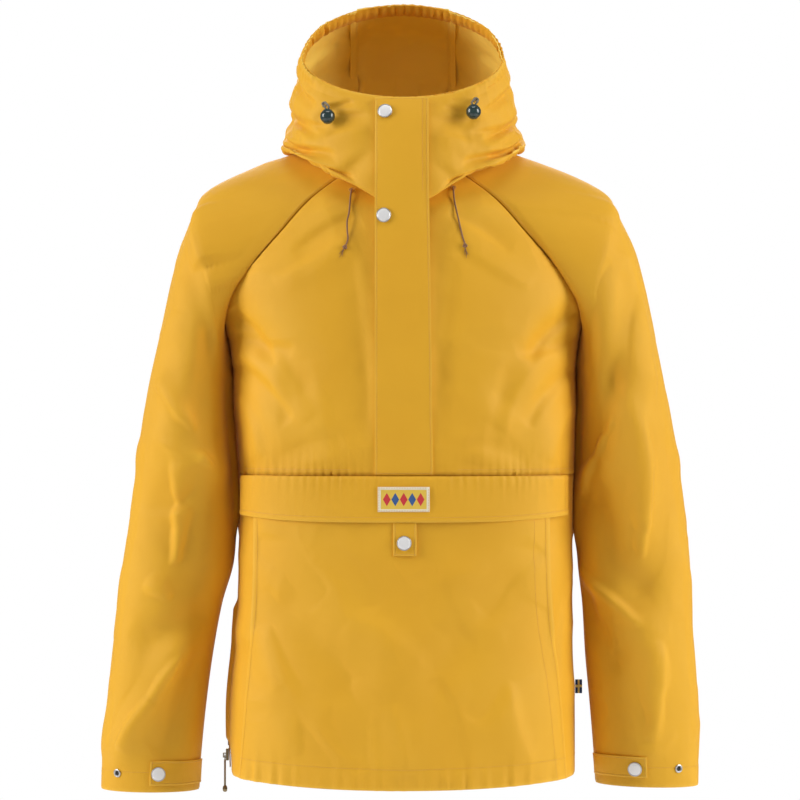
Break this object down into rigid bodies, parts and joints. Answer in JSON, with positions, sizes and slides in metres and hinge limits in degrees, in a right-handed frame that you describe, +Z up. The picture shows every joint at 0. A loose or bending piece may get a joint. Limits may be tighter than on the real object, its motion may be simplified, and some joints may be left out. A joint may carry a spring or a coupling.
{
  "type": "anorak pullover",
  "caption": "Hooded pullover anorak in waxed cloth, shaped as worn: raglan sleeves, storm flap, front pocket with a flap, tabbed cuffs and a side zip.",
  "frame": {"origin": "between the wearer's shoulders, at the base of the neck, half way through the garment's depth", "axes": "+Z up, +X towards the wearer's left sleeve, -Y towards the front with the storm flap"},
  "size_m": [0.716, 0.3036, 0.9541],
  "materials": {
    "waxed_cloth": "tight plain-weave waxed cotton mix, low sheen",
    "hood_edge_cloth": "same cloth, gathered on its cord",
    "press_stud_metal": "matte silver press studs",
    "eyelet_metal": "dark plated eyelets",
    "cord_lock_plastic": "dark green moulded plastic",
    "hood_cord": "braided elastic cord",
    "neck_drawcord": "thin braided cord, frayed past the knot",
    "woven_patch": "dense woven patch with a cream border",
    "woven_label": "woven flag loop, a yellow cross on blue",
    "zip_tape": "woven tape with moulded teeth",
    "zip_metal": "antique plated zip metal"
  },
  "bodies": {
    "garment": {"back": "waxed_cloth", "chest_left": "waxed_cloth", "chest_right": "waxed_cloth", "cord_lock_left": "cord_lock_plastic", "cord_lock_right": "cord_lock_plastic", "cord_loop_left": "hood_cord", "cord_loop_right": "hood_cord", "cuff_tab_left": "waxed_cloth", "cuff_tab_right": "waxed_cloth", "front_lower": "waxed_cloth", "hood_centre": "waxed_cloth", "hood_edge": "hood_edge_cloth", "hood_eyelet_left": "eyelet_metal", "hood_eyelet_right": "eyelet_metal", "hood_left": "waxed_cloth", "hood_right": "waxed_cloth", "neck_cord_left": "neck_drawcord", "neck_cord_right": "neck_drawcord", "neck_eyelet_left": "eyelet_metal", "neck_eyelet_right": "eyelet_metal", "neck_knot_left": "neck_drawcord", "neck_knot_right": "neck_drawcord", "patch": "woven_patch", "pocket_flap": "waxed_cloth", "pocket_panel": "waxed_cloth", "pocket_tab": "waxed_cloth", "side_label": "woven_label", "side_zip": "zip_tape", "sleeve_left": "waxed_cloth", "sleeve_right": "waxed_cloth", "socket_cuff_left": "press_stud_metal", "socket_cuff_right": "press_stud_metal", "storm_flap": "waxed_cloth", "stud_chest": "press_stud_metal", "stud_cuff_left": "press_stud_metal", "stud_cuff_right": "press_stud_metal", "stud_hood": "press_stud_metal", "stud_pocket": "press_stud_metal", "zip_slider": "zip_metal"},
    "zip_pull": {"zip_pull": "zip_metal"}
  },
  "joints": [
    {"name": "zip_pull_swing", "type": "hinge", "parent": "garment", "child": "zip_pull", "pos_m": [-0.21359, 0, -0.702], "axis": [0, 1, 0], "range_deg": [0, 30]}
  ]
}
